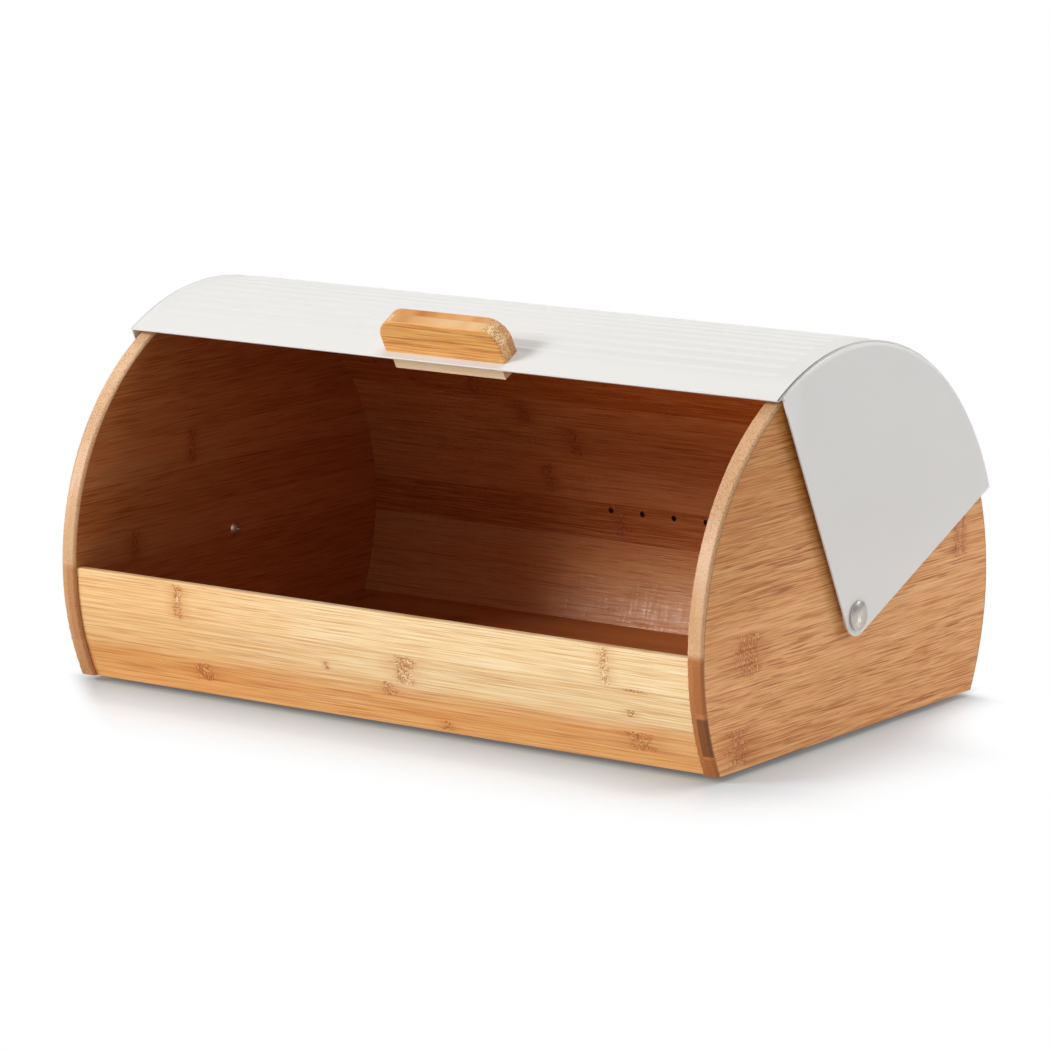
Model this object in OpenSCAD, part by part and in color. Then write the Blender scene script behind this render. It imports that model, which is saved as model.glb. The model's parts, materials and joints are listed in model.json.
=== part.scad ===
// Roll-top bread box.
// A bamboo case of two round side panels, a bent front sheet, a bent back
// sheet and a floor board carries a sheet-steel lid. The lid turns on two
// pivots in the side panels, concentric with the case, and swings back over
// the outside of the back sheet. It is drawn open, resting on its rear stop.
// Frame: X to the right, Y to the back, Z up, origin under the middle of the
// case at the foot of its pads. Angles about the pivot are counted from the
// back (+Y) over the top (+Z) to the front.

/* [Case] */
// Width between the side panels
inner_w = 372; // [300:1:460]
// Thickness of the side panels
side_t = 9; // [7:0.5:12]
// Radius of the side panels about the pivot
profile_r = 128.5; // [118:0.5:145]
// Height of the pivot above the side panels' flat bottom
pivot_h = 58; // [50:0.5:66]
// Rounding of the side panels' rim
rim_round = 1.6; // [0.6:0.1:1.8]

/* [Bent sheets] */
// Thickness of the front and back sheets
sheet_t = 5; // [4:0.5:6]
// Step from the side panels' rim down to the sheets' outer face
sheet_inset = 2; // [2:0.1:3]
// Depth of the grooves that hold the sheets' ends
groove_d = 4; // [2:0.5:5]
// Easing of the sheets' free upper edges
sheet_ease = 1; // [0.4:0.1:1.6]

/* [Floor] */
// Thickness of the floor board
floor_t = 7.5; // [6.5:0.5:10]
// Diameter of the dowels in the floor board's ends
dowel_d = 4; // [3:0.5:4.5]
// Length of a dowel
dowel_l = 20; // [14:1:28]
// Depth of a dowel in the side panel
dowel_seat = 5; // [4:0.5:6]
// Distance between neighbouring dowels
dowel_pitch = 75; // [40:1:90]

/* [Air holes] */
// Diameter of the air holes in the back sheet
vent_d = 3; // [2:0.5:5]
// Distance between neighbouring air holes
vent_pitch = 20; // [10:1:40]
// Number of air holes
vent_count = 4; // [2:1:8]
// Height of the air holes above the pivot
vent_rise = 8; // [0:1:40]

/* [Lid] */
// Sheet thickness of the lid
lid_t = 0.8; // [0.6:0.1:1]
// Gap between the side panels' rim and the lid's inner face
lid_gap = 3.5; // [2.5:0.1:6]
// Angle of the lid's front edge when open
lid_front_angle = 121; // [110:0.5:126]
// Angle of the lid's rear edge when open
lid_rear_angle = 20; // [12:0.5:30]
// Outer bend radius between a flank and its flange
bend_r = 1.8; // [1.2:0.1:2.5]
// Width of the flange under the lid's top sheet
flange_w = 10; // [6:0.5:16]
// Setback of a flank's front corner from the front edge
flank_back = 1.5; // [0:0.5:8]
// Corner radius at a flank's front
flank_front_r = 3; // [1:0.5:8]
// Corner radius at a flank's rear
flank_rear_r = 1.5; // [1:0.5:6]
// Radius of a flank's tip round the pivot
tip_r = 10; // [9:0.5:14]

/* [Beads] */
// Distance between the pressed beads along the lid
bead_pitch = 8.2; // [6:0.1:12]
// Width of a bead
bead_w = 4; // [3:0.1:5]
// Height of a bead above the sheet
bead_h = 0.5; // [0.3:0.05:0.8]
// Plain margin from the front and rear edges to the first bead
bead_margin = 17; // [12:0.5:30]
// Plain margin from the top sheet's side edge to a bead's end
bead_end = 9.5; // [5:0.5:30]

/* [Handle] */
// Length of the grip
grip_l = 73; // [60:1:110]
// Height of the grip above the lid
grip_h = 19; // [15:0.5:24]
// Depth of the grip
grip_d = 11.5; // [10:0.5:16]
// Radius of the grip's upper corners
grip_corner_r = 11; // [6:0.5:13]
// Easing of the grip's arrises
grip_ease = 0.8; // [0.4:0.1:1.5]
// Setback of the handle's front face from the lid's front edge
handle_back = 4.6; // [3:0.1:9]
// Length of the strip under the lid
strip_l = 67; // [56:1:100]
// Thickness of the strip
strip_t = 9; // [7.5:0.5:10]
// Depth of the strip
strip_d = 12; // [10:0.5:16]
// Distance between the two handle screws
screw_pitch = 44; // [30:1:50]
// Shank diameter of a handle screw
screw_d = 3.5; // [3:0.5:4]
// Head diameter of a handle screw
screw_head_d = 7; // [6:0.5:8]
// Depth of the seat that sinks a handle screw's head into the strip
screw_seat = 2.6; // [2:0.1:3.5]
// Clearance round and below a handle screw's head
screw_room = 0.3; // [0.2:0.1:0.5]
// Depth of a screw bore in the grip
screw_bite = 13; // [8:0.5:14]
// Free depth beyond a handle screw's tip
screw_spare = 1; // [0.5:0.5:3]

/* [Pivots] */
// Diameter of the domed outer head
head_d = 14.6; // [12:0.2:18]
// Height of the outer head's rim
head_rim = 1; // [0.6:0.1:2]
// Height of the dome above the rim
head_dome = 1.3; // [0.6:0.1:2.5]
// Diameter of the pivot barrel
barrel_d = 6; // [5:0.5:8]
// Setback of the barrel's end from the side panel's inner face
barrel_back = 0.3; // [0.1:0.1:1]
// Diameter of the spacing washer
washer_d = 15; // [12:0.5:18]
// Thickness of the spacing washer
washer_t = 2.9; // [0.8:0.1:4]
// Head diameter of the inner screw
inner_head_d = 8; // [7:0.5:10]
// Head height of the inner screw
inner_head_t = 1.9; // [1.5:0.1:2.5]
// Trim of the inner screw's thin rim
inner_trim = 0.2; // [0.1:0.05:0.4]
// Shank diameter of the inner screw
inner_shank_d = 3.5; // [3:0.5:4]
// Length of the inner screw's shank
inner_shank_l = 7; // [5:0.5:8]

/* [Feet] */
// Diameter of a foot pad
foot_d = 14; // [10:1:20]
// Height of a foot pad
foot_h = 3; // [2:0.5:5]
// Distance of the pads' centres from the side panels' inner faces
foot_in_x = 16; // [12:1:40]
// Distance of the pads' centres from the floor board's long lower edges
foot_in_y = 15; // [10:1:40]

/* [Clearances] */
// Glue line between bamboo pieces
glue_gap = 0.05; // [0.03:0.01:0.1]
// Radial clearance of a turning or loosely fitted shank
run_gap = 0.05; // [0.03:0.01:0.1]
// Play of a flank between the washer and the outer head
flank_play = 0.1; // [0.05:0.05:0.3]
// Gap left at the lid's stops
stop_gap = 0.2; // [0.1:0.05:0.4]

/* [Hidden] */
$fn = 96;
far = 400;                                     // larger than the case in any direction
over = 1;                                      // reach of a cutter past the face that it cuts
nip = 0.01;                                    // how far a rounding crosses the faces that it joins
pivot_z = foot_h + pivot_h;
side_x = inner_w / 2;                          // inner face of a side panel
outer_x = side_x + side_t;                     // outer face of a side panel
sheet_ro = profile_r - sheet_inset;
sheet_ri = sheet_ro - sheet_t;
sheet_x = side_x + groove_d - glue_gap;        // end of a bent sheet in its groove
floor_z = foot_h + floor_t / 2;                // mid-height of the floor board
lid_ri = profile_r + lid_gap;
lid_ro = lid_ri + lid_t;
flank_x = outer_x + washer_t + flank_play;     // inner face of a flank
flank_xo = flank_x + lid_t;                    // outer face of a flank
top_x = flank_xo - bend_r;                     // side edge of the top sheet
deg_per_mm = 180 / (PI * lid_ro);
handle_angle = lid_front_angle - handle_back * deg_per_mm;
bead_r = (bead_w * bead_w / 4 + bead_h * bead_h) / (2 * bead_h);
bead_c = lid_ro + bead_h - bead_r;             // bead's centre from the pivot
bead_arc = (lid_front_angle - lid_rear_angle) / deg_per_mm - 2 * bead_margin;
bead_n = floor(bead_arc / bead_pitch) + 1;
bead_first = bead_margin + (bead_arc - (bead_n - 1) * bead_pitch) / 2;
bead_x = top_x - bead_end - bead_w / 2;        // centre of a bead's round end
strip_r = lid_ri - strip_t;                    // strip's flat underside from the pivot
grip_root = 3;                                 // reach of the grip's blank into the lid's curve
screw_in = strip_r + screw_seat;               // seat of a handle screw's head
screw_end = lid_ri + screw_bite;               // inner end of a screw bore
pass_r = screw_d / 2 + 3 * run_gap;            // bore for a screw to pass through strip and lid
recess_part = 0.7;                             // share of a screw head's height that its recess takes
barrel_x = side_x + barrel_back;               // inner end of a pivot barrel
head_x = flank_xo + flank_play;                // underside of an outer head
foot_x = side_x - foot_in_x;
foot_y = sqrt(sheet_ri * sheet_ri - pivot_h * pivot_h) - foot_in_y;
flank_front_angle = lid_front_angle - flank_back * deg_per_mm;

// ---------- placing ----------

// Draws a side view, (Y, Z) about the pivot, and pushes it out along X.
module side_view(x0, x1) {
    translate([x0, 0, pivot_z]) rotate([90, 0, 90]) linear_extrude(x1 - x0) children();
}

// Turns solids drawn along +Z so that they point along +X from the pivot axis.
module along_x(x0) {
    translate([x0, 0, pivot_z]) rotate([90, 0, 90]) children();
}

// Frame of the handle: X along the lid, Y from the front face to the back, Z away from the pivot.
module handle_frame() {
    translate([0, 0, pivot_z]) rotate([handle_angle - 90, 0, 0]) children();
}

module on_left() {
    mirror([1, 0, 0]) children();
}

// ---------- plane shapes about the pivot ----------

function polar(r, a) = r * [cos(a), sin(a)];

module ring(ri, ro) {
    difference() {
        circle(ro);
        circle(ri);
    }
}

module wedge(a0, a1) {
    polygon([[0, 0], polar(far, a0), polar(2 * far, (a0 + a1) / 2), polar(far, a1)]);
}

module above_bottom() {
    translate([-far, -pivot_h]) square([2 * far, 2 * far]);
}

// What a rounding takes off a corner: all outside the radius between the directions a0 and a1.
module corner_cut(centre, r, a0, a1) {
    translate(centre) difference() {
        polygon([[0, 0], polar(4 * r, a0), polar(6 * r, (a0 + a1) / 2), polar(4 * r, a1)]);
        circle(r);
    }
}

// Both corners of a sheet's end; the end lies at x = s, the sheet beyond it.
module sheet_end_cut(s, grow) {
    in = sheet_ease - nip;
    for (side = [-1, 1]) {
        reach = (side > 0 ? sheet_ro : sheet_ri) - side * in;
        dir = acos((s + in) / reach);
        a0 = side > 0 ? dir : 180;
        a1 = side > 0 ? 180 : dir + 180;
        corner_cut(polar(reach, dir), sheet_ease + grow, a0, a1);
    }
}

// Section of the back sheet: up from the floor and over to the lid strip's rear stop.
module back_section(grow = 0) {
    difference() {
        intersection() {
            ring(sheet_ri - grow, sheet_ro + grow);
            above_bottom();
            wedge(-90, handle_angle);
        }
        rotate(handle_angle - 90) {
            translate([-far, 0]) square([far + strip_d + stop_gap - grow, far]);
            sheet_end_cut(strip_d + stop_gap, grow);
        }
    }
}

// Section of the front sheet: up from the floor to the height of the pivot.
module front_section(grow = 0) {
    difference() {
        intersection() {
            ring(sheet_ri - grow, sheet_ro + grow);
            above_bottom();
            translate([-far, -far]) square([far, far + grow]);
        }
        mirror([1, 1]) sheet_end_cut(0, grow);
    }
}

// Outline of a flank: a sector with a round tip, open past the arc at radius r.
module flank_outline(r) {
    lean = asin(tip_r / r);
    front_dir = flank_front_angle - lean;
    rear_dir = lid_rear_angle + lean;
    apex_r = (tip_r - nip) / sin((front_dir - rear_dir) / 2);
    apex = polar(apex_r, (front_dir + rear_dir) / 2 + 180);
    difference() {
        polygon([apex, apex + polar(2 * r, front_dir), apex + polar(2 * r, rear_dir)]);
        corner_cut([0, 0], tip_r, front_dir + 90, rear_dir + 270);
        flank_corner_cut(r, front_dir, 1, flank_front_r);
        flank_corner_cut(r, rear_dir, -1, flank_rear_r);
    }
}

// Corner where a flank's side, which runs along dir, meets its arc.
module flank_corner_cut(r, dir, side, cr) {
    in = cr - nip;
    centre_a = dir + side * asin((tip_r - cr) / (r - in));
    a0 = side > 0 ? centre_a : dir - 90;
    a1 = side > 0 ? dir + 90 : centre_a;
    corner_cut(polar(r - in, centre_a), cr, a0, a1);
}

// ---------- bamboo case ----------

// Round board cut flat at the bottom, its rim eased on both sides.
module side_panel() {
    difference() {
        along_x(side_x) rotate_extrude() union() {
            square([profile_r - rim_round, side_t]);
            translate([0, rim_round]) square([profile_r, side_t - 2 * rim_round]);
            translate([profile_r - rim_round, rim_round]) circle(rim_round);
            translate([profile_r - rim_round, side_t - rim_round]) circle(rim_round);
        }
        translate([side_x - over, -far, foot_h - far]) cube([side_t + 2 * over, 2 * far, far]);
        side_view(side_x - over, side_x + groove_d) back_section(glue_gap);
        side_view(side_x - over, side_x + groove_d) front_section(glue_gap);
        along_x(side_x - over) cylinder(h = side_t + 2 * over, d = barrel_d + 2 * run_gap);
        dowel_places() cylinder(h = dowel_l, d = dowel_d + 2 * glue_gap);
    }
}

module side_panel_right() {
    color("#C6915F") side_panel();
}

module side_panel_left() {
    color("#C6915F") on_left() side_panel();
}

module front_sheet() {
    color("#EBB97D") side_view(-sheet_x, sheet_x) front_section();
}

module back_sheet() {
    color("#D9A066") difference() {
        side_view(-sheet_x, sheet_x) back_section();
        for (i = [0 : vent_count - 1]) {
            translate([(i - (vent_count - 1) / 2) * vent_pitch, 0, pivot_z])
                rotate([asin(vent_rise / sheet_ri), 0, 0])
                    translate([0, sheet_ri - over, 0]) rotate([-90, 0, 0])
                        cylinder(h = sheet_t + 2 * over, d = vent_d);
        }
    }
}

// Board between the side panels, its long edges shaped to the bent sheets.
module floor_board() {
    color("#D9A066") difference() {
        side_view(-side_x + glue_gap, side_x - glue_gap) intersection() {
            circle(sheet_ri - glue_gap);
            translate([-far, -pivot_h]) square([2 * far, floor_t]);
        }
        dowel_places() cylinder(h = dowel_l, d = dowel_d + 2 * glue_gap);
        on_left() dowel_places() cylinder(h = dowel_l, d = dowel_d + 2 * glue_gap);
    }
}

// Places along the floor's end where the dowels cross into the right side panel.
module dowel_places() {
    for (y = [-dowel_pitch, 0, dowel_pitch]) {
        translate([side_x + dowel_seat - dowel_l, y, floor_z]) rotate([0, 90, 0]) children();
    }
}

module floor_dowels() {
    tip = dowel_d / 8;
    body = dowel_l - 2 * tip - 2 * glue_gap;
    dowel_places() translate([0, 0, glue_gap]) {
        cylinder(h = tip, d1 = dowel_d - 2 * tip, d2 = dowel_d);
        translate([0, 0, tip]) cylinder(h = body, d = dowel_d);
        translate([0, 0, tip + body]) cylinder(h = tip, d1 = dowel_d, d2 = dowel_d - 2 * tip);
    }
}

module floor_dowels_right() {
    color("#D8B07A") floor_dowels();
}

module floor_dowels_left() {
    color("#D8B07A") on_left() floor_dowels();
}

// ---------- lid ----------

// Angle of bead i, counted from the rear edge.
function bead_angle(i) = lid_rear_angle + (bead_first + i * bead_pitch) * deg_per_mm;

// Every bead's centre in the side view.
module at_beads() {
    for (i = [0 : bead_n - 1]) {
        translate(polar(bead_c, bead_angle(i))) children();
    }
}

// Rolled sheet with pressed beads: the same beads in the outer and the inner face.
module lid_top() {
    color("#F0F0EC") difference() {
        union() {
            side_view(-top_x, top_x) intersection() {
                circle(lid_ro);
                wedge(lid_rear_angle, lid_front_angle);
            }
            side_view(-bead_x, bead_x) at_beads() circle(bead_r);
            bead_ends(bead_r);
        }
        side_view(-top_x - over, top_x + over) circle(lid_ri);
        side_view(-bead_x, bead_x) at_beads() circle(bead_r - lid_t);
        bead_ends(bead_r - lid_t);
        handle_bores(pass_r);
    }
}

module bead_ends(r) {
    for (x = [-bead_x, bead_x]) {
        along_x(x) at_beads() sphere(r);
    }
}

// Flat sector plate with a flange turned in under the top sheet.
module flank() {
    r = lid_ri;
    difference() {
        intersection() {
            along_x(flank_x) rotate_extrude() union() {
                square([r - bend_r, lid_t]);
                translate([r - bend_r, lid_t - bend_r]) intersection() {
                    ring(bend_r - lid_t, bend_r);
                    square(bend_r);
                }
                translate([r - lid_t, lid_t - flange_w]) square([lid_t, flange_w - bend_r]);
            }
            side_view(flank_xo - flange_w - over, flank_xo + over) flank_outline(r);
        }
        along_x(flank_x - over) cylinder(h = lid_t + 2 * over, d = barrel_d + 2 * run_gap);
    }
}

module lid_flank_right() {
    color("#D0CCCB") flank();
}

module lid_flank_left() {
    color("#D0CCCB") on_left() flank();
}

// ---------- handle ----------

// Both screw axes through strip, lid and grip, from the strip's underside outwards.
module at_screws() {
    for (x = [-screw_pitch / 2, screw_pitch / 2]) {
        handle_frame() translate([x, strip_d / 2, 0]) children();
    }
}

module handle_bores(r) {
    at_screws() translate([0, 0, strip_r - over]) cylinder(h = screw_end - strip_r + over, r = r);
}

// Bar with round upper corners and eased arrises, hollowed below to the lid's curve and its beads.
module handle_grip() {
    color("#B5651F") difference() {
        handle_frame() translate([0, grip_d / 2, lid_ro]) union() {
            grip_middle();
            grip_end();
            on_left() grip_end();
        }
        side_view(-grip_l, grip_l) union() {
            circle(lid_ro + glue_gap);
            at_beads() circle(bead_r + glue_gap);
        }
        handle_bores(screw_d / 2 + run_gap);
    }
}

// Stretch of the grip between its round corners.
module grip_middle() {
    translate([grip_corner_r - grip_l / 2, 0, 0]) rotate([90, 0, 90])
        linear_extrude(grip_l - 2 * grip_corner_r) eased_end(grip_h, grip_d, grip_ease, grip_root);
}

// Round upper corner and the straight block below it, at the right end.
module grip_end() {
    foot_up = grip_h - grip_corner_r;
    translate([grip_l / 2 - grip_corner_r, 0, -grip_root]) linear_extrude(foot_up + grip_root)
        rotate(-90) eased_end(grip_corner_r, grip_d, grip_ease);
    translate([grip_l / 2 - grip_corner_r, 0, foot_up]) rotate([90, 0, 0])
        rotate_extrude(angle = 90) rotate(-90) eased_end(grip_corner_r, grip_d, grip_ease);
}

// Rectangle w wide that stands on the X axis, h high, with its upper corners eased.
module eased_end(h, w, e, root = 0) {
    translate([-w / 2, -root]) square([w, h - e + root]);
    translate([e - w / 2, -root]) square([w - 2 * e, h + root]);
    for (x = [e - w / 2, w / 2 - e]) {
        translate([x, h - e]) circle(e);
    }
}

// Bar inside the lid; it stops the lid on the back sheet and on the front sheet.
module handle_strip() {
    color("#D9A066") difference() {
        handle_frame() translate([-strip_l / 2, 0, strip_r]) cube([strip_l, strip_d, strip_t + over]);
        side_view(-strip_l, strip_l) ring(lid_ri - glue_gap, far);
        handle_bores(pass_r);
        at_screws() translate([0, 0, strip_r - over])
            cylinder(h = screw_seat + over, d = screw_head_d + 2 * screw_room);
    }
}

// Pan-head screws with a cross recess, driven from the strip's underside into the grip.
module handle_screws() {
    head_t = screw_seat - screw_room;
    crown = head_t / 2;
    color("#B9B9BC") at_screws() difference() {
        union() {
            translate([0, 0, screw_in - head_t])
                cylinder(h = crown, d1 = screw_head_d - 2 * crown, d2 = screw_head_d);
            translate([0, 0, screw_in - crown]) cylinder(h = crown, d = screw_head_d);
            translate([0, 0, screw_in]) cylinder(h = screw_end - screw_spare - screw_in, d = screw_d);
        }
        cross_recess(screw_in - head_t, screw_head_d / 2, head_t * recess_part);
    }
}

// Cross-shaped driving recess, sunk along +Z from height z.
module cross_recess(z, w, depth) {
    for (a = [0, 90]) {
        rotate(a) translate([-w / 2, -w / 8, z - over]) cube([w, w / 4, depth + over]);
    }
}

// ---------- pivots ----------

// Domed head with a barrel, put in from the outside.
module pivot_barrel() {
    dome_r = (head_d * head_d / 4 + head_dome * head_dome) / (2 * head_dome);
    difference() {
        along_x(0) union() {
            translate([0, 0, head_x]) cylinder(h = head_rim, d = head_d);
            intersection() {
                translate([0, 0, head_x + head_rim]) cylinder(h = head_dome + over, d = head_d);
                translate([0, 0, head_x + head_rim + head_dome - dome_r]) sphere(dome_r);
            }
            translate([0, 0, barrel_x]) cylinder(h = head_x - barrel_x, d = barrel_d);
        }
        along_x(side_x) cylinder(h = inner_shank_l + screw_spare, d = inner_shank_d + 2 * run_gap);
    }
}

module pivot_barrel_right() {
    color("#B8B5AE") pivot_barrel();
}

module pivot_barrel_left() {
    color("#B8B5AE") on_left() pivot_barrel();
}

module pivot_washer() {
    along_x(outer_x) difference() {
        cylinder(h = washer_t, d = washer_d);
        translate([0, 0, -over]) cylinder(h = washer_t + 2 * over, d = barrel_d + 2 * run_gap);
    }
}

module pivot_washer_right() {
    color("#E8E8E4") pivot_washer();
}

module pivot_washer_left() {
    color("#E8E8E4") on_left() pivot_washer();
}

// Raised head with a cross recess on the inside, its shank in the barrel.
module pivot_screw() {
    head_r = (inner_head_d * inner_head_d / 4 + inner_head_t * inner_head_t) / (2 * inner_head_t);
    along_x(side_x) difference() {
        union() {
            intersection() {
                translate([0, 0, -inner_head_t])
                    cylinder(h = inner_head_t, d = inner_head_d - 2 * inner_trim);
                translate([0, 0, head_r - inner_head_t]) sphere(head_r);
            }
            cylinder(h = inner_shank_l, d = inner_shank_d);
        }
        cross_recess(-inner_head_t, inner_head_d / 2, inner_head_t * recess_part);
    }
}

module pivot_screw_right() {
    color("#A9A69F") pivot_screw();
}

module pivot_screw_left() {
    color("#A9A69F") on_left() pivot_screw();
}

// ---------- feet ----------

// Round pad under a corner of the floor board, its lower edge chamfered.
module foot(sx, sy) {
    edge = foot_h / 4;
    color("#3A3A3A") translate([sx * foot_x, sy * foot_y, 0]) {
        cylinder(h = edge, d1 = foot_d - 2 * edge, d2 = foot_d);
        translate([0, 0, edge]) cylinder(h = foot_h - edge, d = foot_d);
    }
}

module foot_front_left() {
    foot(-1, -1);
}

module foot_front_right() {
    foot(1, -1);
}

module foot_rear_left() {
    foot(-1, 1);
}

module foot_rear_right() {
    foot(1, 1);
}

side_panel_left();
side_panel_right();
front_sheet();
back_sheet();
floor_board();
floor_dowels_left();
floor_dowels_right();
lid_top();
lid_flank_left();
lid_flank_right();
handle_grip();
handle_strip();
handle_screws();
pivot_barrel_left();
pivot_barrel_right();
pivot_washer_left();
pivot_washer_right();
pivot_screw_left();
pivot_screw_right();
foot_front_left();
foot_front_right();
foot_rear_left();
foot_rear_right();
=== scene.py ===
"""Looks for the roll-top bread box: bamboo case, beaded white lid, satin pivots, studio."""

import json
import math

import bmesh
import bpy
from mathutils import Matrix, Vector


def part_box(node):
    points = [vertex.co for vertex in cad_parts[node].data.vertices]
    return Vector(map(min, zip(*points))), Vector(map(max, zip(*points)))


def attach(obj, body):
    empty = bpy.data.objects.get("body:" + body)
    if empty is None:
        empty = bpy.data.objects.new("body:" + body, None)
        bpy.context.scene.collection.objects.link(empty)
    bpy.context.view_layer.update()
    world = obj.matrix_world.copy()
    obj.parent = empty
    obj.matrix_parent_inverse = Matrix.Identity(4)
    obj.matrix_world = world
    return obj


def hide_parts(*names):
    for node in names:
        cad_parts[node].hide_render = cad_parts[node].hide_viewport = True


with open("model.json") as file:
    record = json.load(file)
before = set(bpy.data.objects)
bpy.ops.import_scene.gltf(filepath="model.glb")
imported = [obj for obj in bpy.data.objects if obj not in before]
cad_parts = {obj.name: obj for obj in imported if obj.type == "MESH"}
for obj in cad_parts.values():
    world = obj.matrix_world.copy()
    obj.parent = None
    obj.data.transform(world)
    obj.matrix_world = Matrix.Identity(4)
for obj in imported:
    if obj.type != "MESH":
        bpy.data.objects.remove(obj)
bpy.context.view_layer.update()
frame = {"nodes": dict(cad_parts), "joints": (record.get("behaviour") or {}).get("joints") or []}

bl_info = {
    "name": "Roll-top bread box",
    "version": (1, 0, 0),
    "blender": (4, 5, 0),
    "location": "View3D > Sidebar > Bread box",
    "description": "Dresses the bread box and sets up its studio",
    "category": "Object",
}

MM = 0.001

# case: the pivots' place, the side panels' faces and rim, the bent sheets' outer radius
PIVOT = Vector(frame["joints"][0]["pos_m"])
PANEL_LOW, PANEL_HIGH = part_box("side_panel_right")
INNER_X, OUTER_X = PANEL_LOW.x, PANEL_HIGH.x
RIM_R = PANEL_HIGH.z - PIVOT.z
BENT_R = 0.1265
# arc lengths on the front sheet, from the back over the top: its top edge, two seams, and
# where it darkens above the lower one
FRONT_TOP, FRONT_SEAM, FRONT_LOW_SEAM = 0.397, 0.417, 0.450
FRONT_DARKENS = (0.4300, 0.4415)
# rim of the side panels: top of its brown part, height of its blocks, how far the outer ply's
# are moved, and the dark block's lower and upper end
RIM_BROWN_TOP, RIM_STEP, RIM_SHIFT = 0.062, 0.023, 0.011
RIM_DARK = (0.0135, 0.0325)
# air holes in the back sheet: height above the pivots, step and radius
VENT_RISE, VENT_STEP, VENT_R = 0.008, 0.020, 0.0015
# lid: outer radius of the plain sheet about the pivots, and its side edge
LID_R = 0.1328
LID_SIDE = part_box("lid_top")[1].x
# grip: lean of its front face, where its plies meet in depth, its middle height, its ends
GRIP_LEAN = math.radians(119.015 - 90.0)
GRIP_FRONT_PLY, GRIP_BACK_PLY = 0.0007, 0.0063
GRIP_MIDDLE, GRIP_END = 0.1421, 0.0265

# placed growth marks: along and across, then half length and half height, in mm
FRONT_MARKS = (
    (-121.1, 407.6, 3.4, 9.6), (137.8, 407.2, 3.2, 9.6), (18.3, 425.5, 6.5, 8.0),
    (6.8, 436.5, 4.2, 4.0), (-110.7, 444.4, 7.0, 5.5), (153.7, 444.1, 7.5, 5.5),
    (37.7, 453.5, 3.6, 3.0), (-30.0, 429.0, 1.5, 2.5), (153.4, 417.5, 9.0, 0.9),
    (150.6, 429.5, 3.0, 2.0),
)
BACK_MARKS = (
    (-104.3, 80.0, 4.0, 9.0), (-77.3, 64.2, 5.0, 9.0), (-48.3, 46.6, 4.0, 9.0),
    (-68.9, 22.6, 4.0, 9.0), (-24.1, 2.6, 3.0, 9.0),
)

# colours of bamboo that the settings don't hold
# the first front colour is painted light: the sheet paler from its middle towards the right
FRONT_PAINTED_LIGHT, FRONT_EDGE = (1.0, 0.745, 0.41), (0.86, 0.60, 0.33)
FRONT_DARK, FRONT_LOW = (0.83, 0.375, 0.10), (0.93, 0.47, 0.145)
# painted light on the back sheet's inner face: lighter high up, and a sheen low down
BACK_PAINTED_LIGHT_HIGH, BACK_PAINTED_SHEEN_LOW = (0.93, 0.385, 0.11), (0.66, 0.27, 0.075)
# painted shade: near black for the walls of the air holes
VENT_PAINTED_SHADE = (0.03, 0.012, 0.004)
# painted shade: the side panels darker and redder high up in front
PANEL_PAINTED_SHADE = (0.52, 0.20, 0.03)
# the first rim colour is partly the rim's own pale wood and partly a painted sheen highlight
RIM_PALE_AND_SHEEN, RIM_TAN = (0.78, 0.475, 0.265), (0.70, 0.39, 0.19)
RIM_INNER, RIM_BLOCK, RIM_LINE = (0.50, 0.19, 0.06), (0.23, 0.075, 0.02), (0.30, 0.15, 0.045)
GRIP_FRONT, GRIP_BACK = (0.81, 0.475, 0.20), (0.76, 0.37, 0.12)
GRIP_LOW_ENDS = (0.87, 0.50, 0.20), (0.60, 0.28, 0.10)
GRIP_HIGH_ENDS = (1.0, 0.66, 0.31), (0.84, 0.45, 0.17)
GRIP_PORE = (0.42, 0.16, 0.045)
DOWEL_WOOD, STRIP_WOOD = (0.62, 0.40, 0.20), (1.0, 0.78, 0.50)

# side panels: flip turns X outwards, ply_at is where the plies meet (0 inside, 1 outside),
# block is the share of the dark block on the outer ply
PANELS = {
    "right": {
        "seed": 1.0, "flip": 1.0, "ply_at": 0.40, "block": 1.0, "top": RIM_PALE_AND_SHEEN,
        "browns": ((0.54, 0.205, 0.055), (0.42, 0.145, 0.035)),
        "marks": ((-90.0, 57.5, 12.0, 11.0), (-98.0, 14.0, 9.0, 10.0), (98.0, 84.0, 3.2, 11.0),
                  (104.5, 84.0, 2.6, 11.0)),
    },
    "left": {
        "seed": 2.0, "flip": -1.0, "ply_at": 0.60, "block": 0.0, "top": (0.95, 0.64, 0.40),
        "browns": ((0.68, 0.37, 0.17), (0.55, 0.26, 0.095)),
        "marks": ((-34.0, 110.9, 3.0, 10.0), (-81.1, 64.8, 4.0, 8.0)),
    },
}

# the photograph's viewpoint
CAMERA_PLACE = (1.46773, -2.03180, 0.56474)
CAMERA_LOOK = (-0.57465, 0.79638, -0.18855)
CAMERA_UP = (-0.10804, 0.15455, 0.98206)
# lamps: place, aim, width and height in metres, times the key's power, colour
LAMPS = {
    "key": ((-2.55, -3.05, 1.95), (0.0, 0.0, 0.08), (1.5, 1.3), 3.0, (1.0, 0.985, 0.96)),
    "top": ((0.25, 1.10, 2.20), (0.0, 0.0, 0.05), (1.5, 1.1), 0.84, (1.0, 0.995, 0.985)),
    "right": ((1.70, 1.90, 0.95), (0.2, 0.0, 0.08), (0.5, 0.5), 0.415, (1.0, 0.96, 0.965)),
}


# ---------------------------------------------------------------- settings


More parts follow.
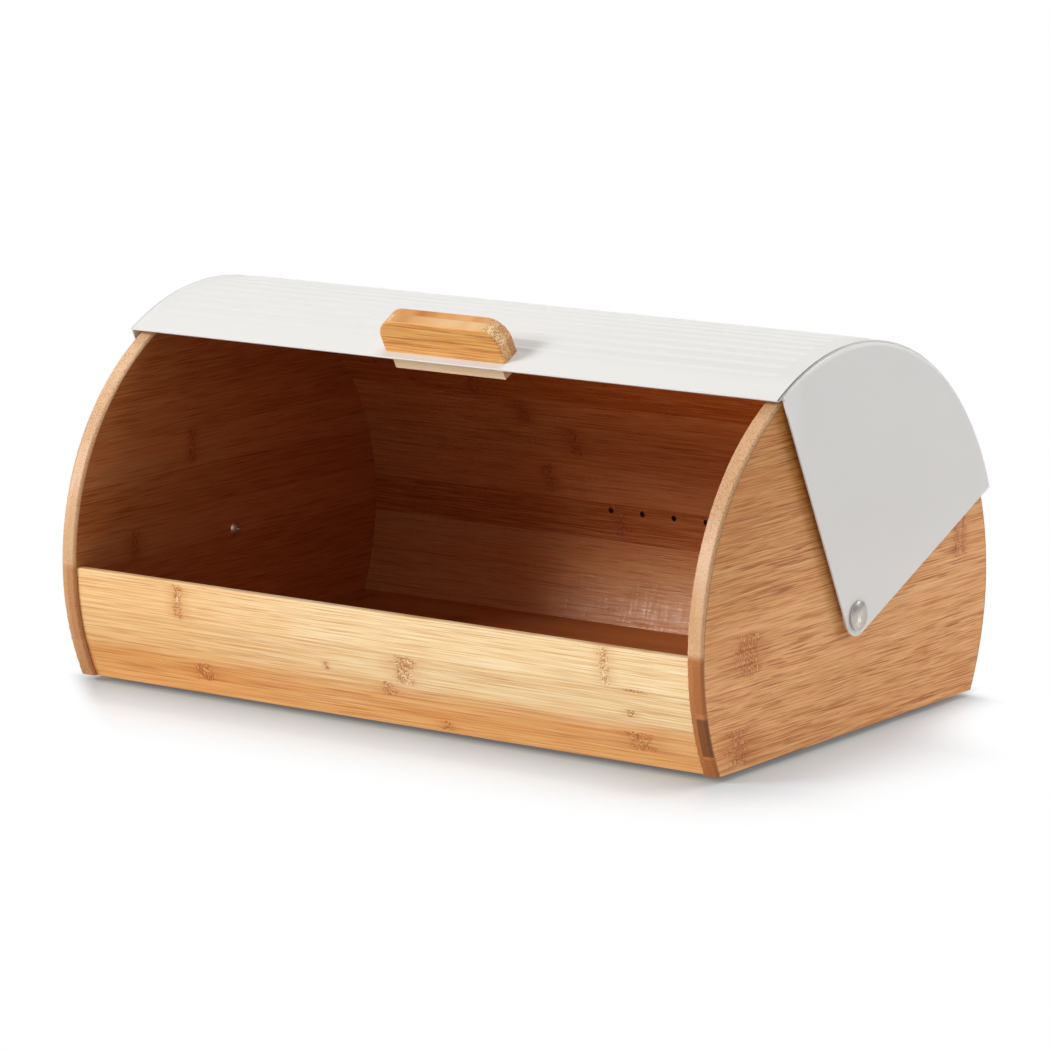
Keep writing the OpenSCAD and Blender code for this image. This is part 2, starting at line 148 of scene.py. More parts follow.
class BambooSettings(bpy.types.PropertyGroup):
    """Colours and sizes of the bamboo boards and sheets."""

    side_color: bpy.props.FloatVectorProperty(
        name="Side panels", description="Middle tone of the side panels", subtype="COLOR",
        size=3, min=0.0, max=1.0, default=(0.875, 0.445, 0.168),
    )
    front_color: bpy.props.FloatVectorProperty(
        name="Front sheet", description="Middle tone of the bent front sheet", subtype="COLOR",
        size=3, min=0.0, max=1.0, default=(0.95, 0.60, 0.265),
    )
    # painted shade in part: the inside tone is darker and redder than the outside, partly the
    # bamboo's own tone, partly shade and warm bounce light inside the box
    inside_tone_and_shade: bpy.props.FloatVectorProperty(
        name="Inside", description="Middle tone of the back sheet and the floor", subtype="COLOR",
        size=3, min=0.0, max=1.0, default=(0.49, 0.175, 0.052),
    )
    handle_color: bpy.props.FloatVectorProperty(
        name="Grip", description="Middle tone of the grip", subtype="COLOR",
        size=3, min=0.0, max=1.0, default=(0.87, 0.425, 0.107),
    )
    strip_width: bpy.props.FloatProperty(
        name="Strip width", description="Width of one glued bamboo strip", unit="LENGTH",
        min=0.008, max=0.04, default=0.0205,
    )
    gloss: bpy.props.FloatProperty(
        name="Lacquer roughness", description="Roughness of the satin lacquer", subtype="FACTOR",
        min=0.1, max=0.9, default=0.42,
    )


class LidSettings(bpy.types.PropertyGroup):
    """Sizes of the rolled lid sheet and the colour of its coat."""

    coat_color: bpy.props.FloatVectorProperty(
        name="Coat", description="Colour of the powder coat", subtype="COLOR",
        size=3, min=0.0, max=1.0, default=(0.855, 0.85, 0.835),
    )
    half_width: bpy.props.FloatProperty(
        name="Half width", description="From the middle to the sheet's side edge", unit="LENGTH",
        min=0.1, max=0.3, default=LID_SIDE,
    )
    radius: bpy.props.FloatProperty(
        name="Radius", description="Outer radius of the plain sheet about the pivots",
        unit="LENGTH", min=0.1, max=0.2, default=LID_R,
    )
    thickness: bpy.props.FloatProperty(
        name="Thickness", description="Thickness of the sheet", unit="LENGTH",
        min=0.0004, max=0.002, default=0.0008,
    )
    front_angle: bpy.props.FloatProperty(
        name="Front edge", description="Angle of the front edge, from the back over the top",
        subtype="ANGLE", min=1.7, max=2.3, default=math.radians(121.0),
    )
    rear_angle: bpy.props.FloatProperty(
        name="Rear edge", description="Angle of the rear edge, from the back over the top",
        subtype="ANGLE", min=0.1, max=0.6, default=math.radians(20.0),
    )
    bead_pitch: bpy.props.FloatProperty(
        name="Bead pitch", description="Distance between neighbouring beads", unit="LENGTH",
        min=0.005, max=0.02, default=0.0082,
    )
    bead_width: bpy.props.FloatProperty(
        name="Bead width", description="Width of a bead at its foot", unit="LENGTH",
        min=0.002, max=0.008, default=0.0050,
    )
    bead_height: bpy.props.FloatProperty(
        name="Bead height", description="Height of a bead above the sheet", unit="LENGTH",
        min=0.0, max=0.001, default=0.0005,
    )
    bead_margin: bpy.props.FloatProperty(
        name="Bead margin", description="Plain sheet before the first bead", unit="LENGTH",
        min=0.005, max=0.04, default=0.017,
    )
    bead_end: bpy.props.FloatProperty(
        name="Bead end", description="Plain sheet beside the beads' ends", unit="LENGTH",
        min=0.002, max=0.04, default=0.0095,
    )


class StageSettings(bpy.types.PropertyGroup):
    """Camera and lamps."""

    focal: bpy.props.FloatProperty(
        name="Lens", description="Focal length of the camera", min=50.0, max=300.0, default=173.99,
    )
    key: bpy.props.FloatProperty(
        name="Key", description="Power of the large front lamp", unit="POWER",
        min=0.0, max=500.0, default=38.0,
    )
    fill: bpy.props.FloatProperty(
        name="Sky", description="Strength of the even white surroundings",
        min=0.0, max=3.0, default=0.32,
    )


# ---------------------------------------------------------------- node helpers


# socket kinds of the groups' inputs and outputs; any other name is a plain number
SOCKET_KINDS = {
    "Base": "NodeSocketColor", "Color": "NodeSocketColor", "Vector": "NodeSocketVector",
    "Geometry": "NodeSocketGeometry", "Coat": "NodeSocketMaterial",
}


def new_group(name, inputs, outputs, kind="ShaderNodeTree"):
    """A new node group: its net, its input sockets by name, and its output node."""
    tree = bpy.data.node_groups.new(name, kind)
    for label, value in inputs.items():
        made = tree.interface.new_socket(
            label, in_out="INPUT", socket_type=SOCKET_KINDS.get(label, "NodeSocketFloat"))
        if value is not None:
            made.default_value = value
    for label in outputs:
        tree.interface.new_socket(
            label, in_out="OUTPUT", socket_type=SOCKET_KINDS.get(label, "NodeSocketFloat"))
    given = tree.nodes.new("NodeGroupInput").outputs
    return Net(tree), {s.name: s for s in given}, tree.nodes.new("NodeGroupOutput")


class Net:
    """Short ways to add and join nodes in one tree."""

    def __init__(self, tree):
        self.tree = tree
        self.nodes = tree.nodes

    def put(self, socket, value):
        """Joins value to the socket, or sets it there; a colour gets its alpha."""
        if isinstance(value, bpy.types.NodeSocket):
            self.tree.links.new(value, socket)
        elif value is not None:
            if socket.type == "RGBA":
                value = (*tuple(value)[:3], 1.0)
            socket.default_value = value

    def give(self, node, **values):
        """Sets or joins several inputs of a node by name."""
        for key, value in values.items():
            self.put(node.inputs[key], value)

    def add(self, kind, inputs=(), **settings):
        """A node with its settings, and its inputs by name or number."""
        node = self.nodes.new(kind)
        for key, value in settings.items():
            setattr(node, key, value)
        for key, value in dict(inputs).items():
            self.put(node.inputs[key], value)
        return node

    def math(self, operation, a, b=None, c=None, clamp=False):
        node = self.nodes.new("ShaderNodeMath")
        node.operation = operation
        node.use_clamp = clamp
        for socket, value in zip(node.inputs, (a, b, c)):
            self.put(socket, value)
        return node.outputs[0]

    def plus(self, a, b):
        return self.math("ADD", a, b)

    def minus(self, a, b):
        return self.math("SUBTRACT", a, b)

    def times(self, a, b, clamp=False):
        return self.math("MULTIPLY", a, b, clamp=clamp)

    def over(self, a, b):
        return self.math("DIVIDE", a, b)

    def times_plus(self, a, b, c, clamp=False):
        """a times b, plus c."""
        return self.math("MULTIPLY_ADD", a, b, c, clamp)

    def most(self, a, b, clamp=False):
        return self.math("MAXIMUM", a, b, clamp=clamp)

    def least(self, a, b):
        return self.math("MINIMUM", a, b)

    def size(self, a):
        """The value without its sign."""
        return self.math("ABSOLUTE", a)

    def centred(self, a):
        """A noise value moved from 0 to 1 to swing about zero."""
        return self.minus(a, 0.5)

    def length(self, a, b):
        """Length of the flat vector (a, b)."""
        return self.math("SQRT", self.plus(self.times(a, a), self.times(b, b)))

    def vector(self, x, y, z):
        return self.add("ShaderNodeCombineXYZ", {0: x, 1: y, 2: z}).outputs[0]

    def parts(self, vector):
        return self.add("ShaderNodeSeparateXYZ", {0: vector}).outputs

    def span(self, value, low, high, to_low=0.0, to_high=1.0):
        """Value moved smoothly from one span to another, held at its ends."""
        node = self.nodes.new("ShaderNodeMapRange")
        node.interpolation_type = "SMOOTHSTEP"
        for name, v in (("Value", value), ("From Min", low), ("From Max", high),
                        ("To Min", to_low), ("To Max", to_high)):
            self.put(node.inputs[name], v)
        return node.outputs[0]

    def fall(self, value, low, high):
        """One up to low, none from high."""
        return self.span(value, low, high, 1.0, 0.0)

    def band(self, value, low, high, soft=0.0004):
        """One between low and high, with soft ends."""
        return self.times(self.span(value, low - soft, low + soft),
                          self.fall(value, high - soft, high + soft))

    def mix(self, share, a, b, blend="MIX"):
        """Two colours mixed by share."""
        node = self.add("ShaderNodeMix", data_type="RGBA", blend_type=blend)
        for number, value in ((0, share), (6, a), (7, b)):
            self.put(node.inputs[number], value)
        return node.outputs[2]

    def tinted(self, color, factor):
        """A colour multiplied by another."""
        return self.mix(1.0, color, factor, "MULTIPLY")

    def noise(self, vector, scale, detail=2.0, rough=0.5, twist=0.0):
        return self.add("ShaderNodeTexNoise", {
            "Vector": vector, "Scale": scale, "Detail": detail, "Roughness": rough,
            "Distortion": twist}).outputs[0]

    def stretched(self, u, v, seed, per_u, per_v, detail=2.0, rough=0.5, twist=0.0):
        """Noise over u and v with its own count of cells to the metre on each."""
        place = self.vector(self.times(u, per_u), self.times(v, per_v), seed)
        return self.noise(place, 1.0, detail, rough, twist)

    def dice(self, a, b, c):
        """A random value and a random colour for each whole place."""
        return self.add("ShaderNodeTexWhiteNoise", {"Vector": self.vector(a, b, c)},
                        noise_dimensions="3D").outputs

    def group(self, name, inputs):
        """Outputs of a shader group placed with these inputs."""
        node = self.nodes.new("ShaderNodeGroup")
        node.node_tree = bpy.data.node_groups[name]
        for key, value in inputs.items():
            self.put(node.inputs[key], value)
        return node.outputs


# ---------------------------------------------------------------- shared effects


def bamboo_group():
    """Fibres, strips, seams and growth marks of flat-laid bamboo.

    Along runs with the fibres and Across over the strips, both in metres. Marks and Halo are
    masks of the placed growth marks, to which each strip adds some of its own.
    """
    n, i, out = new_group("Bamboo", {
        "Along": 0.0, "Across": 0.0, "Strip": 0.02, "Seed": 0.0, "Base": (0.6, 0.3, 0.1, 1.0),
        "Strip Contrast": 0.5, "Fibre": 1.0, "Dash": 0.5, "Own Marks": 1.0, "Marks": 0.0,
        "Halo": 0.0, "Gloss": 0.4,
    }, ("Color", "Roughness", "Height"))
    along, across = i["Along"], i["Across"]
    # the fibres wander a little across their strip
    bow = n.stretched(along, across, i["Seed"], 5.0, 12.0)
    bent = n.times_plus(n.centred(bow), 0.0025, across)
    strip_at = n.over(across, i["Strip"])
    place = n.math("FRACT", strip_at)
    tone, picks = n.dice(n.math("FLOOR", strip_at), i["Seed"], 3.7)
    pick = n.add("ShaderNodeSeparateColor", {0: picks}).outputs
    seat = n.times_plus(tone, 37.0, i["Seed"])

    def streaks(per_along, per_across, detail=2.0, rough=0.55):
        return n.stretched(along, bent, seat, per_along, per_across, detail, rough)

    # fibres: long streaks in three widths, and short dark dashes between them
    fine = streaks(34.0, 1750.0, rough=0.6)
    swing = n.times(n.centred(streaks(3.0, 150.0)), 0.9)
    swing = n.times_plus(n.centred(streaks(13.0, 760.0)), 0.75, swing)
    swing = n.times_plus(n.centred(fine), 5.4, swing)
    swing = n.times(swing, i["Fibre"])
    swing = n.times_plus(n.centred(tone), i["Strip Contrast"], swing)
    dashes = n.times(n.span(streaks(38.0, 1250.0, rough=0.5), 0.555, 0.635),
                     n.span(streaks(9.0, 60.0, 1.0), 0.35, 0.60, 0.30, 1.0))
    # growth marks of the strip's own, at a spacing of its own
    spacing = n.times_plus(pick[1], 0.10, 0.24)
    turn = n.math("FRACT", n.plus(n.over(along, spacing), pick[2]))
    wobble = n.stretched(along, across, seat, 260.0, 260.0, 1.0)
    off = n.size(n.times_plus(n.centred(wobble), 0.006, n.times(n.centred(turn), spacing)))
    inside = n.times(n.span(place, 0.02, 0.12), n.fall(place, 0.88, 0.98))
    inside = n.times(inside, i["Own Marks"])
    mark = n.most(n.times(n.fall(off, 0.0015, 0.0045), inside), i["Marks"])
    halo = n.most(n.times(n.fall(off, 0.003, 0.016), inside), i["Halo"])
    scrawl = n.stretched(along, across, seat, 620.0, 420.0, 2.0, 0.6, 1.4)
    scratch = n.times(mark, n.fall(n.size(n.centred(scrawl)), 0.01, 0.085))
    # thin seam between strips
    edge = n.least(place, n.minus(1.0, place))
    seam = n.fall(n.times(edge, i["Strip"]), 0.0, 0.0006)
    # colour: a ruddy blush on some strips, fibres lighter and darker than the base, then marks
    cloud = n.span(n.noise(n.vector(n.times(along, 6.0), place, seat), 1.0), 0.35, 0.65)
    blush = n.times(n.times(cloud, pick[0]), n.times(i["Strip Contrast"], 2.0, clamp=True))
    base = n.mix(blush, i["Base"], n.tinted(i["Base"], (1.0, 0.84, 0.70)))
    dark = n.tinted(base, (0.70, 0.44, 0.22))
    deep = n.tinted(base, (0.48, 0.23, 0.08))
    light = n.tinted(base, (1.12, 1.36, 1.85))
    col = n.mix(n.most(swing, 0.0, clamp=True), base, light)
    col = n.mix(n.times(swing, -1.0, clamp=True), col, dark)
    pale_mark = n.times(mark, n.span(scrawl, 0.45, 0.75))
    for mask, share, shade in ((halo, 0.32, dark), (pale_mark, 0.5, light),
                               (scratch, 0.90, deep), (dashes, i["Dash"], deep),
                               (seam, 0.22, deep)):
        col = n.mix(n.times(mask, share), col, shade)
    rough = n.times_plus(n.centred(fine), 0.25, i["Gloss"])
    height = fine
    for mask, depth in ((dashes, -0.9), (scratch, -0.8), (seam, -0.7)):
        height = n.times_plus(mask, depth, height)
    n.give(out, Color=col, Roughness=n.times_plus(scratch, 0.15, rough, clamp=True),
           Height=height)


def mark_group():
    """Masks of one growth mark: a ragged band over one strip, and its halo along the fibres."""
    n, i, out = new_group("Growth mark", {
        "Along": 0.0, "Across": 0.0, "At Along": 0.0, "At Across": 0.0, "Half Length": 0.004,
        "Half Height": 0.010, "Marks Before": 0.0, "Halo Before": 0.0,
    }, ("Marks", "Halo"))
    ragged = n.stretched(i["Along"], i["Across"], i["At Along"], 60.0, 330.0, 2.0, 0.6)
    shift = n.times(n.centred(ragged), i["Half Length"])
    du = n.size(n.times_plus(shift, 2.0, n.minus(i["Along"], i["At Along"])))
    dv = n.size(n.minus(i["Across"], i["At Across"]))
    far = n.over(du, i["Half Length"])
    high = n.over(dv, i["Half Height"])
    core = n.times(n.fall(far, 0.4, 1.2), n.fall(high, 0.80, 1.05))
    ring = n.times(n.fall(far, 0.5, 3.2), n.fall(high, 0.70, 1.05))
    n.give(out, Marks=n.most(core, i["Marks Before"]), Halo=n.most(ring, i["Halo Before"]))


def coat_group():
    """Fine orange peel of a powder coat, faint clouding and a dusty speckle."""
    n, i, out = new_group("Powder coat", {
        "Vector": None, "Base": (0.85, 0.85, 0.83, 1.0), "Gloss": 0.4,
    }, ("Color", "Roughness", "Height"))
    cloud = n.noise(i["Vector"], 9.0, 3.0, 0.55)
    speck = n.span(n.noise(i["Vector"], 2600.0, 1.0), 0.72, 0.80)
    col = n.mix(n.span(cloud, 0.3, 0.8, 0.0, 0.10), i["Base"], (0.70, 0.69, 0.66))
    n.give(out, Color=n.mix(n.times(speck, 0.10), col, (0.45, 0.44, 0.42)),
           Roughness=n.times_plus(n.centred(cloud), 0.12, i["Gloss"], clamp=True),
           Height=n.noise(i["Vector"], 900.0))


def turned_group():
    """Fine rings round the X axis through the pivots, as on a turned and brushed head."""
    n, i, out = new_group("Turned rings", {
        "Vector": None, "Axis Y": 0.0, "Axis Z": 0.0, "Gloss": 0.3,
    }, ("Shade", "Roughness", "Height"))
    x, y, z = n.parts(i["Vector"])
    r = n.length(n.minus(y, i["Axis Y"]), n.minus(z, i["Axis Z"]))
    rings = n.stretched(r, x, 0.0, 9000.0, 400.0, 3.0, 0.6)
    stain = n.noise(i["Vector"], 350.0)
    n.give(out, Shade=n.times(n.plus(rings, stain), 0.5),
           Roughness=n.times_plus(n.centred(rings), 0.2, i["Gloss"]), Height=rings)


# ---------------------------------------------------------------- materials


def start_material(name):
    """An empty material with a Principled shader, its net and its Object coordinates."""
    mat = bpy.data.materials.new(name)
    mat.use_nodes = True
    mat.node_tree.nodes.clear()
    n = Net(mat.node_tree)
    shader = n.add("ShaderNodeBsdfPrincipled")
    n.add("ShaderNodeOutputMaterial", {"Surface": shader.outputs[0]})
    where = n.add("ShaderNodeTexCoord").outputs["Object"]
    return mat, n, shader, where


def finish(n, shader, color, rough, height, strength, depth_mm, specular=0.5, metallic=0.0):
    """Joins colour, roughness and relief to the shader; its fixed values stay on its sockets."""
    bump = n.add("ShaderNodeBump", {
        "Height": height, "Strength": strength, "Distance": depth_mm * MM})
    for name, value in (("Base Color", color), ("Roughness", rough),
                        ("Normal", bump.outputs[0])):
        n.put(shader.inputs[name], value)
    shader.inputs["Specular IOR Level"].default_value = specular
    shader.inputs["Metallic"].default_value = metallic


def placed_marks(n, marks, along, across):
    """Mask and halo of all placed growth marks, each laid over those before it."""
    mask, halo = 0.0, 0.0
    for u, v, half_u, half_v in marks:
        mask, halo = n.group("Growth mark", {
            "Along": along, "Across": across, "At Along": u * MM, "At Across": v * MM,
            "Half Length": half_u * MM, "Half Height": half_v * MM, "Marks Before": mask,
            "Halo Before": halo,
        })
    return mask, halo


def bamboo(n, along, across, base, seed, strip, contrast, fibre, dash, gloss, own=0.0,
           masks=(0.0, 0.0)):
    """Colour, roughness and height of bamboo, with the masks of its placed growth marks."""
    return n.group("Bamboo", {
        "Along": along, "Across": across, "Strip": strip, "Seed": seed, "Base": base,
        "Strip Contrast": contrast, "Fibre": fibre, "Dash": dash, "Own Marks": own,
        "Marks": masks[0], "Halo": masks[1], "Gloss": gloss,
    })


def round_profile(n, y, z):
    """Height above the pivots, distance from them, and arc length from the back over the top."""
    rise = n.minus(z, PIVOT.z)
    angle = n.math("ARCTAN2", rise, y)
    # below the pivots in front the angle jumps by a full turn, so it counts on from there
    full = n.times(n.math("LESS_THAN", angle, -0.5 * math.pi), 2.0 * math.pi)
    return rise, n.length(y, rise), n.times(n.plus(angle, full), BENT_R)


def front_material(s):
    """Bamboo of the front sheet: fibres along X, strips round the profile, a darker low strip."""
    mat, n, shader, where = start_material("bamboo_front")
    x, y, z = n.parts(where)
    _, _, arc = round_profile(n, y, z)
    grain = n.stretched(x, arc, 0.0, 7.0, 500.0, 3.0)
    wavy = n.times_plus(n.centred(grain), 0.010, arc)
    low = (FRONT_LOW_SEAM - 0.001, FRONT_LOW_SEAM + 0.001)
    dark = n.times(n.span(wavy, *FRONT_DARKENS), n.span(wavy, *low, 1.0, 0.3))
    # painted light: the sheet is paler from its middle towards the right end
    base = n.mix(n.span(x, -0.15, 0.0), s.front_color, FRONT_PAINTED_LIGHT)
    base = n.mix(n.span(arc, FRONT_SEAM - 0.0005, FRONT_SEAM + 0.0005), base,
                 n.tinted(base, (0.95, 0.93, 0.90)))
    base = n.mix(n.times(dark, n.span(grain, 0.35, 0.65, 0.95, 0.55)), base, FRONT_DARK)
    base = n.mix(n.times(n.span(wavy, *low), 0.75), base, FRONT_LOW)
    base = n.mix(n.span(arc, FRONT_TOP + 0.0008, FRONT_TOP - 0.0004), base, FRONT_EDGE)
    # the fibres are drawn out along X, the marks are not
    masks = placed_marks(n, FRONT_MARKS, x, arc)
    made = bamboo(n, n.times(x, 0.6), n.minus(arc, FRONT_TOP), base, seed=6.0,
                  strip=s.strip_width, contrast=0.16, fibre=0.57, dash=0.35, gloss=s.gloss,
                  masks=masks)
    finish(n, shader, *made, strength=0.6, depth_mm=0.018, specular=0.30)
    return mat


def back_material(s):
    """Bamboo of the back sheet, with cross scratches of its sanded inner face, painted light on
    that face and vents darkened with painted shade.
    """
    mat, n, shader, where = start_material("bamboo_back")
    x, y, z = n.parts(where)
    rise, r, arc = round_profile(n, y, z)
    outside = n.span(r, BENT_R - 0.003, BENT_R - 0.002)
    # painted light on the inner face: lighter towards the right, lighter still high up on the
    # right, and a painted sheen low down on the right; the inside tone under it is partly painted
    # shade
    left, right = ([c * gain for c in s.inside_tone_and_shade] for gain in (1.10, 1.20))
    inside = n.mix(n.span(x, -0.12, 0.12), left, right)
    high = n.times(n.span(z, 0.09, 0.15), n.span(x, -0.12, 0.08))
    low = n.times(n.span(z, 0.060, 0.035), n.span(x, -0.12, 0.0))
    inside = n.mix(low, n.mix(high, inside, BACK_PAINTED_LIGHT_HIGH), BACK_PAINTED_SHEEN_LOW)
    color, rough, height = bamboo(
        n, x, n.plus(arc, 0.0085), n.mix(outside, inside, s.side_color), seed=9.0,
        strip=s.strip_width, contrast=n.times_plus(outside, -1.3, 1.6), fibre=0.9, dash=0.30,
        gloss=0.36, masks=placed_marks(n, BACK_MARKS, x, arc))
    cross = n.times(n.plus(n.stretched(x, arc, 2.0, 560.0, 60.0, 1.0),
                           n.stretched(x, arc, 5.0, 60.0, 560.0, 1.0)), 0.5)
    # four round holes through the sheet at even steps
    beside = n.minus(n.size(n.minus(n.size(x), VENT_STEP)), VENT_STEP / 2)
    bore = n.length(beside, n.minus(rise, VENT_RISE))
    # painted shade: the vents' walls are coloured near black
    shaded_wall = n.times(n.span(bore, VENT_R + 0.00012, VENT_R + 0.00002),
                   n.math("GREATER_THAN", y, 0.0))
    rough = n.times_plus(n.centred(cross), 0.8, n.most(rough, shaded_wall))
    finish(n, shader, n.mix(shaded_wall, color, VENT_PAINTED_SHADE), rough, n.times_plus(cross, 5.0, height),
           strength=0.7, depth_mm=0.07, specular=0.28)
    return mat


def panel_material(side, s):
    """Bamboo on a side panel: fibres front to back, and the plies on its rim."""
    mat, n, shader, where = start_material("bamboo_panel_" + side)
    own = PANELS[side]
    x, y, z = n.parts(where)
    _, r, _ = round_profile(n, y, z)
    depth = n.over(n.minus(n.times(x, own["flip"]), INNER_X), OUTER_X - INNER_X)
    inner = n.math("LESS_THAN", depth, 0.5)
    outer = n.minus(1.0, inner)
    # painted shade: darker and redder high up in front on the outer face, under the lid and its
    # flank
    painted_shade_high = n.times(n.span(n.times_plus(y, -0.35, z), 0.07, 0.175, 0.08, 0.75), outer)
    # the inner faces take the inside tone, which is partly painted shade
    base = n.mix(painted_shade_high, n.mix(inner, s.side_color, s.inside_tone_and_shade), PANEL_PAINTED_SHADE)
    face, rough, height = bamboo(
        n, n.times_plus(inner, 0.31, y), n.times_plus(inner, 0.0035, z), base,
        seed=own["seed"], strip=s.strip_width, contrast=n.times_plus(inner, 0.55, 0.28),
        fibre=n.times_plus(inner, -0.27, 0.92), dash=n.times_plus(inner, -0.3, 0.75),
        gloss=s.gloss, masks=placed_marks(n, own["marks"], y, z))
    # rim: pale above the pivots and paler still towards the top, partly its own paler wood and
    # partly a painted sheen highlight, brown plies in blocks below, a dark block on the outer ply
    ply = n.span(depth, own["ply_at"] - 0.02, own["ply_at"] + 0.02)
    block = n.math("FLOOR", n.over(n.times_plus(ply, RIM_SHIFT, z), RIM_STEP))
    tone = n.dice(block, n.math("ROUND", ply), own["seed"] + 5.0)[0]
    low = n.span(z, RIM_BROWN_TOP + 0.002, RIM_BROWN_TOP - 0.002)
    pale = n.mix(n.span(z, 0.11, 0.16, 0.0, 0.7), n.mix(tone, RIM_PALE_AND_SHEEN, RIM_TAN), own["top"])
    rim = n.mix(low, pale, n.mix(tone, *own["browns"]))
    rim = n.mix(n.times(n.minus(1.0, ply), n.times(low, 0.45)), rim, RIM_INNER)
    dark = n.times(n.times(ply, n.band(z, *RIM_DARK)), n.math("LESS_THAN", y, 0.0))
    rim = n.mix(n.times(dark, own["block"]), rim, RIM_BLOCK)
    pores = n.noise(where, 1500.0, 1.0, 0.6)
    specks = n.times(n.span(pores, 0.48, 0.38), n.span(z, 0.095, 0.130, 0.25, 0.60))
    rim = n.mix(specks, rim, n.tinted(rim, (0.62, 0.40, 0.20)))
    rim = n.mix(n.times(n.span(pores, 0.52, 0.64), 0.30), rim,
                n.tinted(rim, (1.15, 1.25, 1.40)))
    on_rim = n.span(r, RIM_R - 0.0016, RIM_R - 0.0011)
    # thin dark line where the outer face meets the rim
    line = n.times(n.band(r, RIM_R - 0.0019, RIM_R - 0.0013, 0.0002), outer)
    finish(n, shader, n.mix(n.times(line, 0.60), n.mix(on_rim, face, rim), RIM_LINE),
           n.times_plus(on_rim, -0.08, rough), n.times_plus(n.times(on_rim, pores), 0.8, height),
           strength=0.6, depth_mm=0.03, specular=0.30)
    return mat


def flat_material(name, color, seed, turn, gloss, strip, contrast=0.5, fibre=0.7, own=1.0):
    """Bamboo on a straight piece; turn names the object axes used as along and across."""
    mat, n, shader, where = start_material(name)
    axes = n.parts(where)
    made = bamboo(n, axes[turn[0]], axes[turn[1]], color, seed=seed, strip=strip,
                  contrast=contrast, fibre=fibre, dash=0.3, gloss=gloss, own=own)
    finish(n, shader, *made, strength=0.6, depth_mm=0.02, specular=0.30)
    return mat


def grip_material(s):
    """Bamboo on the grip: plies front to back, fibres along it, end grain on its round ends."""
    mat, n, shader, where = start_material("bamboo_grip")
    x, y, z = n.parts(where)
    rise = n.minus(z, PIVOT.z)
    cos, sin = math.cos(GRIP_LEAN), math.sin(GRIP_LEAN)
    # depth from the front face to the back, and height away from the pivots
    depth = n.plus(n.times(y, cos), n.times(rise, sin))
    up = n.minus(n.times(rise, cos), n.times(y, sin))
    back = n.span(depth, GRIP_BACK_PLY, GRIP_BACK_PLY + 0.0003)
    front = n.span(depth, GRIP_FRONT_PLY + 0.0003, GRIP_FRONT_PLY)
    base = n.mix(front, n.mix(back, GRIP_FRONT, GRIP_BACK), s.handle_color)
    face, rough, height = bamboo(
        n, x, n.times_plus(back, 0.013, up), base, seed=4.0, strip=0.0125, contrast=0.2,
        fibre=0.9, dash=0.50, gloss=s.gloss)
    ends = n.times(n.span(n.size(x), GRIP_END, GRIP_END + 0.0035), n.minus(1.0, front))
    dots = n.add("ShaderNodeTexVoronoi", {"Vector": where, "Scale": 1250.0}).outputs["Distance"]
    block = n.mix(n.span(up, GRIP_MIDDLE, GRIP_MIDDLE + 0.0004), n.mix(back, *GRIP_LOW_ENDS),
                  n.mix(back, *GRIP_HIGH_ENDS))
    cut = n.mix(n.span(dots, 0.30, 0.62, 0.85, 0.0), block, GRIP_PORE)
    finish(n, shader, n.mix(ends, face, cut), rough,
           n.times_plus(n.times(ends, dots), 0.6, height), strength=0.5, depth_mm=0.03)
    return mat


def coat_material(s):
    """Warm white powder coat of the lid."""
    mat, n, shader, where = start_material("powder_coat")
    color, rough, height = n.group("Powder coat", {
        "Vector": where, "Base": s.coat_color, "Gloss": 0.42})
    x, y, z = n.parts(where)
    rise = n.minus(z, PIVOT.z)
    r = n.length(y, rise)
    # painted shade in the open gap along the sheet's side edges, darkest in front and towards the
    # right
    gap_shade = n.times(n.band(n.size(x), LID_SIDE - 0.0008, LID_SIDE + 0.0001, 0.0001),
                    n.math("GREATER_THAN", r, LID_R - 0.0002))
    gap_shade = n.times(n.times(gap_shade, n.span(x, -0.1, 0.1, 0.3, 1.0)),
                    n.span(y, 0.02, -0.05, 0.25, 0.95))
    # painted shade between the beads and on the flanks, stronger towards the right, none at the
    # front lip or the tips
    bead_and_flank_shade = n.times(n.span(r, LID_R + 0.0003, LID_R), n.span(x, 0.0, 0.15, 0.10, 0.30))
    bead_and_flank_shade = n.times(bead_and_flank_shade, n.times(n.span(y, -0.060, -0.048), n.span(rise, 0.005, 0.05)))
    color = n.mix(gap_shade, n.mix(bead_and_flank_shade, color, (0.68, 0.67, 0.65)), (0.10, 0.095, 0.09))
    finish(n, shader, color, rough, height, strength=0.25, depth_mm=0.02, specular=0.45)
    return mat


def steel_material(name, light, dark, gloss):
    """Satin turned steel."""
    mat, n, shader, where = start_material(name)
    shade, rough, height = n.group("Turned rings", {
        "Vector": where, "Axis Y": PIVOT.y, "Axis Z": PIVOT.z, "Gloss": gloss})
    finish(n, shader, n.mix(shade, dark, light), rough, height, strength=0.5, depth_mm=0.01,
           metallic=1.0)
    return mat


def grained_material(name, light, dark, gloss, scale, depth_mm, metallic=0.0):
    """Nylon, rubber or zinc with a fine grain."""
    mat, n, shader, where = start_material(name)
    grain = n.noise(where, scale, 3.0, 0.6)
    finish(n, shader, n.mix(n.span(grain, 0.3, 0.7), dark, light),
           n.span(grain, 0.2, 0.8, gloss - 0.08, gloss + 0.08), grain, strength=0.5,
           depth_mm=depth_mm, metallic=metallic)
    return mat


def dress(node, mat):
    """Gives a CAD node its material."""
    mesh = frame["nodes"][node].data
    mesh.materials.clear()
    mesh.materials.append(mat)


# ---------------------------------------------------------------- operators


class BREAD_OT_effects(bpy.types.Operator):
    """Build the shader groups that several finishes share"""

    bl_idname = "bread.effects"
    bl_label = "Shared effects"

    def execute(self, context):
        for make in (bamboo_group, mark_group, coat_group, turned_group):
            make()
        return {"FINISHED"}


